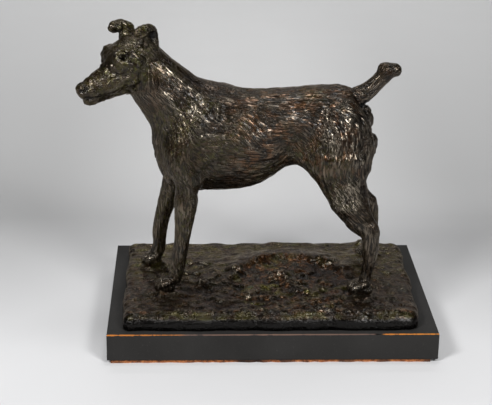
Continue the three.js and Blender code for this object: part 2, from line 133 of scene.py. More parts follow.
def bronze(name, lined):
    """Cast bronze, chemically patinated and waxed: nearly black in the tool's grooves, which is dark patina and
    painted shade, with painted shade in the creases and hollows, dark brown on the planes, olive where the patina
    gathered, red-brown where it was rubbed, paler on worn crests and where highlights are painted, and small white
    lights from the wax."""
    made, tree, place = material(name)
    # Masks painted on the skin: worn crests with painted highlights, painted shade in the creases and hollows, olive
    # patina, and rust
    wear = add(tree, "ShaderNodeAttribute", {"attribute_name": "wear"})
    masks = add(tree, "ShaderNodeSeparateColor", Color=wear).outputs
    worn_and_highlight, hollow, green, red = masks["Red"], masks["Green"], masks["Blue"], wear.outputs["Alpha"]

    # Grain of the cast wax, 1.5 mm on the coat and 3 mm on the ground, and under it mottling about 5 mm and
    # clouds about 25 mm across, then the patches where rust, moss and pale flecks of moss show
    grain, mottle, clouds, *patches = (
        add(tree, "ShaderNodeTexNoise", Vector=place, Scale=scale, Detail=detail, Roughness=rough, Distortion=bend)
        for scale, detail, rough, bend in (
            (650.0 if lined else 300.0, 3.0, 0.6, 0), (190.0, 4.0, 0.65, 0), (40.0, 3.0, 0.6, 0),
            (110.0, 3.0, 0.5, 0.6), (210.0 if lined else 90.0, 4.0, 0.7 if lined else 0.5, 0),
            (430.0, 2.0, 0.5, 0)))
    if lined:
        crest = tool_lines(tree, place, add(tree, "ShaderNodeAttribute", {"attribute_name": "lay"}))
    else:
        crest = add(tree, "ShaderNodeMapRange", SMOOTH, Value=grain, From_Min=0.36, From_Max=0.64)
    groove = add(tree, "ShaderNodeMath", MINUS, _0=1.0, _1=crest)

    base = add(tree, "ShaderNodeValToRGB", {"stops": ((0.34, "#1f160b"), (0.5, "#2d2113"), (0.64, "#3d2d19"))},
               Fac=clouds)
    dull, rust, moss, fleck = (
        add(tree, "ShaderNodeValToRGB", {"stops": ((none, 0.0), (full, most))}, Fac=spread)
        for spread, none, full, most in zip((mottle, *patches), (0.36, 0.46, 0.42, 0.6), (0.62, 0.58, 0.6, 0.68),
                                            (0.5, 0.85, 1.0, 0.7)))
    low = add(tree, "ShaderNodeMapRange", Value=groove, To_Min=0.3) if lined else 1.0
    # Darkest in the grooves, which is dark patina and painted shade; paler grey-brown on the crests, which is wear
    # and painted highlight
    rusty, mossy, sunk, worn = (
        add(tree, "ShaderNodeMath", TIMES, _0=a, _1=b)
        for a, b in ((rust, red), (moss, green), (groove, 0.85), (crest, worn_and_highlight)))
    mossy = add(tree, "ShaderNodeMath", TIMES, _0=mossy, _1=low)
    flecked = add(tree, "ShaderNodeMath", TIMES, _0=fleck, _1=mossy)
    # Layers over the base: mottling, rust, worn crests with painted highlights, dark patina and painted shade in the
    # grooves, moss, pale flecks of moss, and painted shade, with some dark patina, in the creases and hollows
    for amount, shade in ((dull, "#130f0b"), (rusty, "#583615" if lined else "#6e421c"), (worn, "#7d7466"),
                          (sunk, "#050403"), (mossy, "#4b4519" if lined else "#4c451a"), (flecked, "#6f7a4a"),
                          (hollow, "#030202")):
        base = add(tree, "ShaderNodeMix", {"data_type": "RGBA"}, _0=amount, _6=base, _7=colour(shade)).outputs[2]

    if not lined:
        off = add(tree, "ShaderNodeVectorMath", {"operation": "DISTANCE"}, _0=place, _1=VERDIGRIS_AT).outputs[1]
        spot = add(tree, "ShaderNodeMapRange", Value=off, From_Min=VERDIGRIS_REACH, From_Max=VERDIGRIS_FULL)
        spot = add(tree, "ShaderNodeMath", TIMES, _0=spot, _1=crest)
        base = add(tree, "ShaderNodeMix", {"data_type": "RGBA"}, _0=spot, _6=base, _7=colour("#58a894")).outputs[2]

    height = add(tree, "ShaderNodeMath", {"operation": "MULTIPLY_ADD"}, _0=grain, _1=0.3, _2=crest)
    relief = add(tree, "ShaderNodeBump", Height=height, Strength=1.0, Distance=0.0003 if lined else 0.0002)
    gloss = add(tree, "ShaderNodeMapRange", Value=crest, To_Min=0.42, To_Max=0.24)
    shader = add(tree, "ShaderNodeBsdfPrincipled", Base_Color=base, Metallic=0.85, Roughness=gloss,
                 Specular_Tint=colour("#c9b9a2"), Coat_Weight=0.45 if lined else 0.35, Coat_Roughness=0.17,
                 Normal=relief, Coat_Normal=relief)
    add(tree, "ShaderNodeOutputMaterial", Surface=shader)
    return made


# The sculpt as a field of depths, in mm. The forms have the same places and sizes as in the part's own source.
HEAD_AT = np.array((-142.0, -6.0, 278.0))
HEAD_TURN, HEAD_DROP = math.radians(32), math.radians(14)
# Underside and general level of the bronze ground, and the height inside it where the paws stop
GROUND_UNDER, GROUND_LEVEL = 31.6, 45.5
PAWS_END = 40.0
# Size of the cells from which the skins are made, and the most triangles in a piece
CELL = 1.15
MOST_TRIANGLES = 196000


def join(a, b, k):
    """The lesser of two depths, with a fillet k mm wide where they are alike."""
    h = np.maximum(k - np.abs(a - b), 0) / k
    return np.minimum(a, b) - h * h * (k * 0.25)


def cut(a, b, k):
    return -join(-a, b, k)


def turned_axes(turn, drop):
    """Rows ahead, to the near side and up, of a piece that looks to -X, turned to the near side and dropped."""
    ct, st, cd, sd = math.cos(turn), math.sin(turn), math.cos(drop), math.sin(drop)
    return np.array(((-ct * cd, -st * cd, -sd), (st, -ct, 0), (-sd * ct, -sd * st, cd)))


LEVEL = np.eye(3)
# A skin of wax that every limb carries, and the fillet between its stretches, in mm
WAX, LIMB_FILLET = 0.15, 2.0
HEAD_AXES = turned_axes(HEAD_TURN, HEAD_DROP)


# Each form is its depth at given points and the corners of its own box
def ball(centre, half, side=1, axes=LEVEL):
    centre, half = np.asarray(centre, float) * (1, side, 1), np.asarray(half, float)

    def depth(p):
        q = ((p - centre) @ axes.T) / half
        near = np.sqrt((q * q).sum(1))
        slope = np.sqrt(((q / half) ** 2).sum(1)) + 1e-9
        return near * (near - 1) / slope
    return depth, centre - half.max(), centre + half.max()


def hermite(a, b, m0, m1, t):
    """From a to b, leaving a with the slope m0 and reaching b with m1."""
    return a * (1 + 2 * t) * (1 - t) ** 2 + m0 * t * (1 - t) ** 2 + b * t * t * (3 - 2 * t) + m1 * t * t * (t - 1)


def curve(knots, parts=4):
    """Points along a smooth line through the knots, each a place and a radius."""
    if len(knots) < 3:
        return knots
    made = []
    for i in range(len(knots) - 1):
        a, b = knots[i], knots[i + 1]
        m0 = (b - knots[i - 1]) / 2 if i else b - a
        m1 = (knots[i + 2] - a) / 2 if i + 2 < len(knots) else b - a
        made += [hermite(a, b, m0, m1, j / parts) for j in range(parts)]
    return np.array(made + [knots[-1]])


def limb(knots, side=1, flat=(1, 1, 1), axes=LEVEL):
    points = curve(np.asarray(knots, float) * (1, side, 1, 1))
    shape = axes.T / np.asarray(flat, float)

    def depth(p):
        best = None
        for a, b in zip(points[:-1], points[1:]):
            run = b[:3] - a[:3]
            q = p - a[:3]
            t = np.clip((q @ run) / (run @ run), 0, 1)
            off = (q - t[:, None] * run) @ shape
            d = np.sqrt((off * off).sum(1)) - (a[3] + (b[3] - a[3]) * t + WAX)
            best = d if best is None else join(best, d, LIMB_FILLET)
        return best
    reach = points[:, 3].max() * max(flat) + 1
    return depth, points[:, :3].min(0) - reach, points[:, :3].max(0) + reach


def through(stations, column, x):
    i = np.clip(np.searchsorted(stations[:, 0], x) - 1, 0, len(stations) - 2)
    a, b = stations[i], stations[i + 1]
    before, after = stations[np.maximum(i - 1, 0)], stations[np.minimum(i + 2, len(stations) - 1)]
    h = b[:, 0] - a[:, 0]
    m0 = (b[:, column] - before[:, column]) / (b[:, 0] - before[:, 0]) * h
    m1 = (after[:, column] - a[:, column]) / (after[:, 0] - a[:, 0]) * h
    t = np.clip((x - a[:, 0]) / h, 0, 1)
    return hermite(a[:, column], b[:, column], m0, m1, t)


# Section of the trunk: 2 is an ellipse, more is squarer
ROUNDNESS = 2.15


def barrel(stations):
    """The trunk, through stations that are each x, top, bottom, half width and height of the widest level."""
    stations = np.asarray(stations, float)
    first, last = stations[0, 0], stations[-1, 0]

    def depth(p):
        top, bottom, wide, middle = (through(stations, c, p[:, 0]) for c in (1, 2, 3, 4))
        high = np.where(p[:, 2] > middle, top - middle, middle - bottom)
        a, b = np.abs(p[:, 1]) / wide, np.abs(p[:, 2] - middle) / high
        k = (a ** ROUNDNESS + b ** ROUNDNESS) ** (1 / ROUNDNESS) + 1e-9
        slope = np.sqrt((a / wide) ** 2 + (b / high) ** 2) / k + 1e-9
        d = np.clip((k - 1) / slope, -40, 200)
        return np.maximum(d, np.maximum(first - p[:, 0], p[:, 0] - last))
    widest = stations[:, 3].max()
    return depth, np.array((first, -widest, stations[:, 2].min())), np.array((last, widest, stations[:, 1].max()))


forms = []


def put(form, fillet):
    forms.append((form, fillet, False))


def carve(form, fillet):
    forms.append((form, fillet, True))


# Trunk: chest, ribs, tuck of the belly, loin and croup
put(barrel([
    (-118.6, 195, 179, 5, 187), (-116, 204, 169, 13, 187), (-111, 214, 159, 21, 187),
    (-104, 229, 150, 29, 188), (-90, 250, 145, 36, 190), (-72, 257.8, 144.2, 38, 191),
    (-50, 255, 144.4, 39, 192), (-30, 249.8, 146, 39, 195), (-12, 248, 151.5, 38, 198),
    (2, 249, 159.5, 36.5, 202), (14, 250.4, 168.6, 34, 207), (36, 252.5, 172.6, 30, 214),
    (55, 253, 174, 30, 216), (78, 251, 176, 30, 216), (86.5, 238, 184, 27, 215),
    (93, 225, 198, 18, 213)]), 1)
put(limb([(-72.7, 0, 206, 39.3), (-97, -1, 235.8, 33.2), (-120.4, -3, 262.8, 26.8)], flat=(1, 0.8, 1)), 8)
put(ball((-100, -2, 203), (20.6, 22, 20)), 8)
for side, back in ((-1, 0), (1, -5)):
    put(limb([(-66 + back, 19, 230, 11.5), (-92 + back, 29.5, 190, 12.8),
              (-84 + back, 31, 166, 11)], side), 12)
    put(ball((-75 + back, 30.5, 166), (7.6, 8, 10), side), 4)
    carve(limb([(-42 + back, 40.4, 189.4, 0.3), (-51 + back, 40.2, 186.4, 0.5),
                (-59 + back, 39.6, 181.8, 0.8), (-66.6 + back, 38.6, 175, 1.2),
                (-73.7 + back, 41.4, 166.6, 0.8)], side), 6)

TOES = ((-6.6, 2.6), (-2.3, 6), (2.3, 6), (6.6, 2.6))


def paw(place, out, long=0):
    """A low pad under four long toes, which spread from the wrist and bend down to their tips."""
    a = math.radians(180 + out)
    axes = np.array(((math.cos(a), math.sin(a), 0), (-math.sin(a), math.cos(a), 0), (0, 0, 1)))
    place = np.asarray(place, float)

    def at(ahead, side, up, r):
        return (*(place + np.array((ahead, side, up)) @ axes), r)
    put(ball(place + np.array((0, 0, -3)) @ axes, (9.5 + long / 2, 8.4, 5.6), axes=axes), 4)
    for side, ahead in TOES:
        put(limb([at(-6, side * 0.4, 4.6, 2), at(ahead - 5.5 + long / 2, side * 0.8, 3, 2.6),
                  at(ahead + long, side, 0.2, 2.9), at(ahead + 3 + long, side * 1.04, -3.6, 2.4)]), 1)


# Legs
SLIM = (1, 0.85, 1)
put(limb([(-84, -31, 168, 12.5), (-86.5, -33, 150, 10.4), (-86.8, -34, 138, 11.2), (-89.3, -34.5, 114, 8.2),
          (-91.2, -35, 98, 7), (-93.6, -35, 82, 7), (-95.4, -35, 70, 6.2), (-98.5, -36, 58, 6.6)], flat=SLIM), 5)
paw((-107.5, -36.5, 52), -8)
put(limb([(-88, 30, 168, 14), (-96, 31, 152, 12.5), (-102.5, 32, 132, 10), (-110.4, 32.5, 107, 8.2),
          (-115, 33, 84, 7), (-116, 33.5, 66, 6.1), (-119, 34, 56, 6.4)], flat=SLIM), 5)
paw((-123.5, 34, 51.5), 6)
for side, out, back in ((-1, 45, 0), (1, 44, 5)):
    put(ball((68, 18, 205), (31, 21, 38), side), 10)
    put(limb([(66 + back, 23, 205, 27), (66 + back, 28, 181, 27.5),
              (74 + back, 33, 156, 20.5), (87.5 + back, out - 5, 126, 14),
              (100.4 + back * 1.2, out - 2, 112, 8.4)], side, (1, 0.62, 1)), 8)
    put(limb([(28.6, 20, 187.6, 9.4), (49, 27, 176, 9.5)], side), 10)
    put(limb([(91 + back * 0.4, 22, 196, 12), (90 + back * 0.6, 27, 176, 9.5)], side), 10)
    put(limb([(101.2 + back * 1.7, out - 2, 115 - back / 2, 7.6),
              (101.4 + back * 2, out + back * 0.2, 98, 7.8),
              (100.8 + back * 2.7, out + back * 0.7, 80, 6.3),
              (98.4 + back * 3.1, out + back * 1.2, 67, 5),
              (96.5 + back * 3.3, out + 0.5 + back * 1.3, 58, 5.4)], side, SLIM), 4)
    carve(limb([(83, 22.8, 241, 0.3), (87.9, 26.6, 232.8, 0.5), (88.4, 34.5, 217.5, 0.6),
                (90.5, 37.4, 201.7, 0.7), (92.6, 38.2, 187, 0.6), (93.6, 38.8, 174, 0.3)], side), 4)
    carve(limb([(50, 30.4, 239, 0.1), (46.4, 33, 231, 0.2), (45, 37, 220, 0.3),
                (46, 40, 208, 0.3), (49.6, 42.6, 196, 0.1)], side), 5)
    paw((94 + back * 3.2, (out + 1.5 + back * 1.3) * side, 53 - back / 2), 5 * side, 3.5 - back / 2)

# Tail and seat
put(limb([(80, 0, 238, 10.5), (97, 0, 248.4, 7.9), (109, 0, 260, 7.1), (116, 0, 267.8, 7.5)]), 4)
put(limb([(113.8, 0, 270, 7.6), (124, 0, 270, 6.5)]), 3)
for side in (-1, 1):
    put(ball((87, 9, 209), (13, 14, 20), side), 7)
put(ball((95, 0, 189), (11, 15, 17)), 7)
for x, y, z, r in ((95.2, -5, 225, 7.4), (99.4, 5, 216, 7.4), (102, -7, 196, 8), (103.5, 6, 185, 7.5)):
    put(ball((x, y, z), (r * 0.8, r, r * 1.2)), 4)


def in_head(p):
    return HEAD_AT + np.asarray(p, float) @ HEAD_AXES


def head_ball(centre, half, side=1):
    return ball(in_head(np.multiply(centre, (1, side, 1))), half, axes=HEAD_AXES)


def head_limb(knots, side=1, flat=(1, 1, 1)):
    return limb([(*in_head((x, y * side, z)), r) for x, y, z, r in knots], flat=flat, axes=HEAD_AXES)


# Head: skull, back of the skull, forehead, throat
put(head_ball((-3, 0, 2.2), (27, 21.5, 23.5)), 10)
put(head_ball((-15, 0, -10), (19, 20, 22)), 10)
put(head_ball((10, 0, 8.5), (15.5, 15, 12.5)), 7)
put(head_ball((0, 0, -17), (15, 14, 12.6)), 8)
for side in (-1, 1):
    put(head_ball((14, 11.2, 12.8), (8.8, 7.6, 7.6), side), 4)
    put(head_ball((1, 12, -8), (18, 10, 14), side), 7)
    put(head_limb([(20, 11.5, 6, 3.4), (10, 15, 5.5, 4.2), (-4, 18, 4.5, 4.6)], side), 5)
# Muzzle, nose, lower jaw
put(head_limb([(12, 0, -4.5, 17.5), (34, 0, -5.6, 11.8), (53, 0, -6.6, 8.3)], flat=(1, 0.8, 1)), 6)
put(head_ball((57.5, 0, -4), (5, 6.3, 5.2)), 2.5)
put(head_limb([(-2, 0, -17, 11.5), (26, 0, -17.4, 8.2), (53, 0, -18, 6)], flat=(1, 0.95, 1)), 4)
# Lips over the jaw, the corner of the mouth, the nostrils and the eyes
for side in (-1, 1):
    put(head_limb([(14, 13.5, -7, 9), (33, 9.6, -9.4, 8), (48, 6.2, -10.2, 6.4),
                   (57, 3, -9.2, 4.8)], side, (1, 0.55, 1)), 3)
    carve(head_limb([(26, 14.5, -17.5, 0.8), (38, 11.6, -17.6, 1.2), (50, 8.2, -16.2, 1.2),
                     (59, 4.4, -13.6, 1.1)], side), 1.5)
    carve(head_ball((60.6, 4.6, -5), (2.2, 1.6, 1.5), side), 1)
    carve(head_ball((14.6, 18, 16.4), (5.4, 3.8, 3.4), side), 2)
    put(head_ball((13.3, 12, 15.7), (4.3, 4.1, 4.3), side), 0.6)
    carve(head_limb([(-9, 23, 10, 1), (-3, 24.8, 3, 1.4), (1, 25.2, -4, 1.4),
                     (5, 24.2, -12, 1.4), (9, 19.6, -20, 1.1)], side), 5)


def ear(side, shell, hollow, flap):
    put(head_ball((shell[0][0], 14.5, 10), (8.4, 7, 12), side), 7)
    put(head_limb(shell, side, (1, 0.55, 1)), 6)
    put(head_limb(flap, side, (1, 0.8, 1)), 1.8)
    carve(head_limb(hollow, side, (1, 0.8, 1)), 1.6)


# Ears: raised shells, open outwards, with the flap folded forward over the opening
ear(1, [(-17, 16.5, 8, 6.4), (-18.2, 19.5, 18, 6.6), (-19.6, 21, 26, 6), (-21, 21.4, 31, 4.6)],
    [(-18, 25, 18.5, 2), (-18.8, 25.6, 24, 3.4), (-18.4, 26, 29.5, 3.4)],
    [(-21.6, 22, 30.6, 4), (-16.3, 23.2, 34.7, 4.7), (-9.2, 24, 36.2, 5), (-3.6, 24.5, 36.8, 3.7)])
put(head_limb([(-11.4, 22.4, 31.5, 2.2), (-12.2, 22, 25.5, 2.1), (-12.4, 19.6, 19, 2.6)]), 1.8)
ear(-1, [(-12.5, 15.5, 8, 8.4), (-13, 18.8, 19, 8), (-15, 20.6, 26, 6.4)],
    [(-12, 23.5, 16, 2), (-13, 25.8, 21, 4), (-13.5, 27, 25, 4)],
    [(-18.5, 20.6, 26.8, 4.5), (-11.1, 22.4, 30.6, 5.2), (-4.6, 23.2, 32.2, 4.7), (-1.6, 23.6, 32.4, 3.6)])

# Lids, pupils and nostrils, pressed lumps of wax on the cheeks and brows: finer than the facets of the part
for side, low in ((1, 0), (-1, 2.6)):
    put(head_limb([(17.4, 14, 18.4 - low, 0.8), (13.4, 15.8, 19.4 - low, 1.3),
                   (8.6, 16.8, 15.4 - low, 1)], side), 1)
    put(head_limb([(17, 14.4, 15.2 - low, 0.8), (13.4, 16.1, 12 - low, 1.4),
                   (8.8, 16.9, 12.6 - low, 1)], side), 1)
    put(head_limb([(18, 12.2, 20.8 - low, 0.8), (11, 13.8, 21.6 - low, 1.2),
                   (4.5, 15.6, 18 - low, 0.9)], side), 2.4)
    carve(head_ball((14.1, 17, 16.1 - low), (3, 5, 2.5), side), 0.6)
    carve(head_ball((60.6, 4.6, -5), (2.4, 2.4, 1.7), side), 1)
    carve(head_limb([(60, 6.3, -6.4, 0.6), (56.4, 7.2, -5, 0.6), (55.6, 6.8, -2.4, 0.5)], side), 1)
for centre, half in (
        ((30.4, 12.8, -3.6), (3.2, 2, 2.2)), ((34.8, 9.6, -0.8), (2.4, 1.6, 1.8)),
        ((26.1, 14.2, -5), (1.6, 2, 3.8)), ((16.1, 17, -5.3), (3, 2.2, 2.2)), ((21.4, 15.3, -6), (1.4, 2, 3)),
        ((8.7, 20, -11.5), (4.5, 2, 1.6)), ((-0.7, 15.8, 16.5), (2.8, 1.8, 2.2)), ((51.4, 7.7, -7.6), (3, 2, 2.2)),
        ((43, 9, -6), (2.6, 1.8, 1.8)), ((38, 10, -10), (2.2, 1.8, 2.6)), ((20, 12.2, 9.5), (2.4, 1.8, 1.8)),
        ((24.5, 9, 9), (2, 1.6, 2.2)), ((27, 3.6, 7.6), (3, 2.2, 1.6))):
    for side in (-1, 1):
        put(head_ball(centre, half, side), 2.6)
for side in (-1, 1):
    for knots in ([(18, 15.6, 8.4, 0.7), (12.6, 18, 8.8, 1), (7.6, 19.6, 6.2, 1),
                   (9.4, 20, 2, 0.9)],
                  [(20.6, 15.6, 2.4, 0.7), (16, 17.2, 2, 1), (11, 19.4, 0.4, 0.8)],
                  [(6, 18.6, 12.4, 0.6), (2, 20, 9, 0.8), (-2, 21.9, 4, 0.6)],
                  [(3.6, 17.6, 15.2, 0.6), (-1, 19.1, 11.2, 0.8), (-5, 21.3, 6.6, 0.6)]):
        put(head_limb(knots, side), 2.2)


# From the field to a mesh
# Depth far from every form, and how far outside its box a form still counts beyond its fillet, in mm
FAR_OFF, MARGIN = 60.0, 8


def depth_at(points):
    """Depth of the whole figure at each point; each form is asked only near its own box."""
    total = np.full(len(points), FAR_OFF)
    for (depth, low, high), fillet, out in forms:
        margin = fillet + MARGIN
        near = np.nonzero(((points > low - margin) & (points < high + margin)).all(1))[0]
        if not len(near):
            continue
        d = depth(points[near])
        total[near] = cut(total[near], d, fillet) if out else join(total[near], d, fillet)
    return np.maximum(total, PAWS_END - points[:, 2])


def on_grid(field, low, high, step, shift=0.0):
    """The field's values on a regular grid."""
    count = np.ceil((high - low) / step).astype(int)
    axes = [low[i] + step * (np.arange(count[i]) + shift) for i in range(3)]
    return field(np.stack([a.ravel() for a in np.meshgrid(*axes, indexing="ij")], 1)).reshape(count)


def sampled(low, high, coarse=4, batch=400000):
    """Depths of the figure on a grid; only the coarse cells near the surface are filled with fine values."""
    step = CELL * coarse
    rough = on_grid(depth_at, low, high, step, 0.5)

    def spread(values):
        for axis in range(3):
            values = np.repeat(values, coarse, axis)
        return values
    fine = spread(rough).astype(np.float32)
    wanted = np.argwhere(spread(np.abs(rough) < step * 2.2))
    for start in range(0, len(wanted), batch):
        ids = wanted[start:start + batch]
        fine[tuple(ids.T)] = depth_at(low + CELL * ids)
    return fine


# The corners of a cell
CORNERS = [*np.ndindex(2, 2, 2)]


def skinned(depths, low):
    """The surface where the depths change sign: one vertex in each crossed cell, one quad on each crossed edge."""
    inside = depths < 0
    size = np.array(depths.shape)
    crowd = np.zeros(size - 1, np.int8)
    for c in CORNERS:
        crowd += inside[tuple(slice(c[m], size[m] - 1 + c[m]) for m in range(3))]
    crossed = (crowd > 0) & (crowd < 8)
    cells = np.argwhere(crossed)
    number = np.full(crossed.shape, -1)
    number[crossed] = np.arange(len(cells))
    total, times = np.zeros((len(cells), 3)), np.zeros(len(cells))
    for c in CORNERS:
        for axis in range(3):
            if c[axis]:
                continue
            far = [*c]
            far[axis] = 1
            va = depths[tuple((cells + c).T)]
            vb = depths[tuple((cells + far).T)]
            hit = (va < 0) != (vb < 0)
            spot = np.tile(np.array(c, float), (len(cells), 1))
            spot[:, axis] = np.where(hit, va / np.where(hit, va - vb, 1), 0)
            total[hit] += spot[hit]
            times[hit] += 1
    points = low + CELL * (cells + total / times[:, None])
    quads = []
    for axis in range(3):
        shift = [int(m == axis) for m in range(3)]
        first = inside[tuple(slice(0, size[m] - shift[m]) for m in range(3))]
        second = inside[tuple(slice(shift[m], size[m]) for m in range(3))]
        edges = np.argwhere(first != second)
        u, v = (axis + 1) % 3, (axis + 2) % 3

        def beside(du, dv):
            at = edges.copy()
            at[:, u] -= du
            at[:, v] -= dv
            return number[tuple(at.T)]
        four = np.stack([beside(1, 1), beside(0, 1), beside(0, 0), beside(1, 0)], 1)
        outward = first[tuple(edges.T)]
        four[~outward] = four[~outward][:, ::-1]
        quads.append(four)
    return points, np.concatenate(quads)


def slopes(points, field, reach=0.35):
    rise = np.stack([field(points + reach * e) - field(points - reach * e) for e in np.eye(3)], 1) / (2 * reach)
    return rise / (np.linalg.norm(rise, axis=1)[:, None] + 1e-9)


def settled(points, field, rounds, reach):
    """Points drawn onto the surface, their normals, and how shut in each of them is, near by and further off."""
    for _ in range(rounds):
        points = points - slopes(points, field) * np.clip(field(points), -0.6, 0.6)[:, None]
    normal = slopes(points, field, reach)
    return points, normal, [np.clip(1 - field(points + normal * far) / far, 0, 1) for far in (3.0, 9.0)]


# Relief
dice = np.random.default_rng(11)
LATTICE_SIZE = 48
LATTICE = dice.uniform(-1, 1, (LATTICE_SIZE,) * 3).astype(np.float32)


def noise(p, span, shift=0.0):
    """Smooth values between about -1 and 1, which change over a length of span mm."""
    q = p / span + shift
    cell = np.floor(q).astype(int)
    f = q - cell
    f = f * f * (3 - 2 * f)
    total = 0
    for corner in CORNERS:
        across, along, upward = (f[:, i] if corner[i] else 1 - f[:, i] for i in range(3))
        total = total + across * along * upward * LATTICE[tuple((cell + corner).T % LATTICE_SIZE)]
    return total


# Distance between strands of the coat, coarse and fine, in mm
COARSE_SPAN, FINE_SPAN = 1.55, 1.3
# How the coat lies, seen from the side: place along and up, in mm, and the direction of its lines in degrees
LIE = ((-100, 288, -42), (-84, 266, -42), (-112, 250, -62), (-126, 262, -80), (-96, 244, -55), (-70, 246, -62),
       (-84, 220, -70), (-100, 200, -84), (-116, 212, -72), (-114, 180, -86), (-62, 226, -28), (-40, 236, -12),
       (-60, 256, -12), (-20, 250, -3), (20, 250, 2), (-60, 200, -8), (-72, 176, -50), (-84, 160, -75),
       (-16, 218, -48), (-28, 208, -42), (0, 226, -5), (-30, 190, 2), (-40, 172, -4), (-12, 180, 10), (10, 190, 22),
       (12, 210, 14), (30, 230, 2), (32, 200, -60), (40, 180, -62), (45, 214, -50), (60, 226, -62), (52, 248, -6),
       (80, 244, -25), (70, 200, -84), (86, 205, -80), (62, 176, -80), (75, 150, -68), (90, 130, -56),
       (103, 100, -88), (103, 70, -88), (98, 190, -84), (104, 256, 46), (120, 269, 20), (-90, 130, -86),
       (-94, 90, -80), (-112, 110, -72), (-116, 80, -88), (-150, 290, -30), (-160, 268, 20), (-180, 266, 35))

# Distance over which each of these directions holds, in mm
LIE_REACH = 11.0

# Strokes that stand out from the coat on each flank: height, half width, and the places the tool passed
STROKES = (
    (1.3, 2.3, ((-106, 18, 276), (-96, 19, 267.5), (-85, 19, 258), (-72, 23, 249), (-67, 29, 244))),
    (-1.1, 2.2, ((-104, 12, 281), (-92.5, 11.6, 272.6), (-77.6, 10.6, 261), (-60.7, 15.3, 253))),
    (1, 2.2, ((-109, 26, 254), (-99.4, 27.6, 242), (-90.5, 31, 230))),
    (-0.8, 1.8, ((-104, 23, 260), (-94, 24, 249), (-84, 28, 238))),
    (0.9, 2, ((-77.6, 27.7, 242), (-72.7, 35.4, 230))),
    (1.1, 2.5, ((-54.9, 30.5, 239), (-56, 34.5, 228))),
    (0.9, 2.8, ((-46, 22, 245), (-40, 23.5, 244))),
    (-0.7, 1.5, ((-70, 39, 215), (-58, 37, 217), (-45, 37, 215))),
    (0.8, 1.7, ((-72, 39, 211), (-60, 38, 213), (-48, 38, 211))),
    (0.9, 1.7, ((-21, 38, 214), (-15, 38, 209))), (0.9, 1.6, ((-16, 38, 217), (-9, 38, 211))),
    (0.8, 1.6, ((-10, 37, 220), (-3, 37, 214))), (0.8, 1.6, ((-27, 38, 207), (-20, 38, 201))),
    (1.1, 2, ((53, 30, 239), (54, 37, 222), (57, 42, 206), (59, 44, 193))),
    (0.9, 2, ((66, 36, 236), (68, 40, 224))), (1, 2.2, ((76, 35, 229), (78, 38, 214))),
    (0.9, 2, ((72, 41, 212), (71, 43, 200))), (0.9, 2, ((84, 33, 222), (85, 36, 206))),
    (0.9, 2, ((64, 41, 218), (63, 43, 206))), (0.8, 1.8, ((88, 36, 196), (88, 38, 184))),
    (1, 1.8, ((77.6, 46, 164), (72, 46, 158))), (1, 1.7, ((62.5, 45, 165), (62, 45, 156))),
    (0.9, 1.8, ((68.4, 45, 144), (73, 44, 136))), (0.9, 1.8, ((84, 42, 152), (88, 42, 142))),
    (-0.8, 2, ((-46, 36, 196), (-20, 37, 184), (4, 35, 186))),
    (1.2, 1.5, ((58, 38, 212), (59, 42, 196))), (1.3, 1.4, ((66, 38, 210), (66, 43, 193))),
    (1.2, 1.4, ((76, 38, 204), (76, 42, 190))), (1.2, 1.4, ((82, 36, 200), (83, 40, 189))),
    (1.2, 1.5, ((66, 45, 158), (64, 45, 141))), (1.3, 1.5, ((72, 45, 156), (74, 45, 139))),
    (1.2, 1.4, ((79, 43, 160), (81, 43, 143))), (1.1, 1.5, ((86, 41, 166), (85, 42, 148))))

# Shelves in the muscle that catch the light on their upper side and shade the smooth stretch below
LEDGES = ((2.8, 6, ((56, 43, 188), (88, 38, 187))), (3, 7.5, ((64, 45, 137), (84, 43, 135))))


def stroke(p, knots, wide):
    """1 on the path, falling to 0 beside it, on both flanks."""
    nearest = np.full(len(p), 1e6)
    flank = p * np.array((1, 0, 1)) + np.abs(p) * np.array((0, 1, 0))
    for a, b in zip(np.array(knots[:-1], float), np.array(knots[1:], float)):
        run = b - a
        t = np.clip(((flank - a) @ run) / (run @ run), 0, 1)
        off = flank - a - t[:, None] * run
        off[:, 1] *= 0.5
        nearest = np.minimum(nearest, (off * off).sum(1))
    return np.exp(-nearest / wide ** 2)


def lie(p):
    """Direction of the coat's lines at each point, as an angle in the plane of the side view."""
    double = np.zeros((len(p), 2))
    for x, z, angle in LIE:
        share = np.exp(-((p[:, 0] - x) ** 2 + (p[:, 2] - z) ** 2) / (2 * LIE_REACH ** 2)) + 1e-12
        a = math.radians(2 * angle)
        double += share[:, None] * np.array((math.cos(a), math.sin(a)))
    return 0.5 * np.arctan2(double[:, 1], double[:, 0]) + 0.3 * noise(p, 17, 3.3)


def strands(p, along, span, length, shift):
    """Noise drawn out along the coat's lines, so that it reads as strands span mm apart."""
    steps = np.linspace(-length, length, 9)
    drawn = sum(noise(p + s * along, span, shift) for s in steps) / 3.6
    return np.clip(drawn, -1.2, 1.2)


def bump(p, centre, radius):
    return np.exp(-(((p - np.asarray(centre, float)) / radius) ** 2).sum(1))


def smooth_step(value, low, high):
    t = np.clip((value - low) / (high - low), 0, 1)
    return t * t * (3 - 2 * t)


def mesh_object(name, points, faces, finish, node):
    mesh = bpy.data.meshes.new(name)
    mesh.from_pydata((points * MM).tolist(), [], faces.tolist())
    mesh.polygons.foreach_set("use_smooth", np.ones(len(mesh.polygons), bool))
    mesh.materials.append(finish)
    piece = bpy.data.objects.new(name, mesh)
    bpy.context.collection.objects.link(piece)
    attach(piece, "root")
    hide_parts(node)
    return piece


def paint(piece, name, *columns):
    layer = piece.data.attributes.new(name, "FLOAT_COLOR", "POINT")
    layer.data.foreach_set("color", np.clip(np.stack(columns, 1), 0, 1).astype(np.float32).ravel())


def thin_out(piece):
    """Fewer and larger faces where the surface is flat."""
    triangles = sum(len(f.vertices) - 2 for f in piece.data.polygons)
    if triangles <= MOST_TRIANGLES:
        return
    change = piece.modifiers.new("thin out", "DECIMATE")
    change.ratio = MOST_TRIANGLES / triangles
    graph = bpy.context.evaluated_depsgraph_get()
    done = bpy.data.meshes.new_from_object(piece.evaluated_get(graph))
    piece.modifiers.clear()
    old = piece.data
    piece.data = done
    bpy.data.meshes.remove(old)


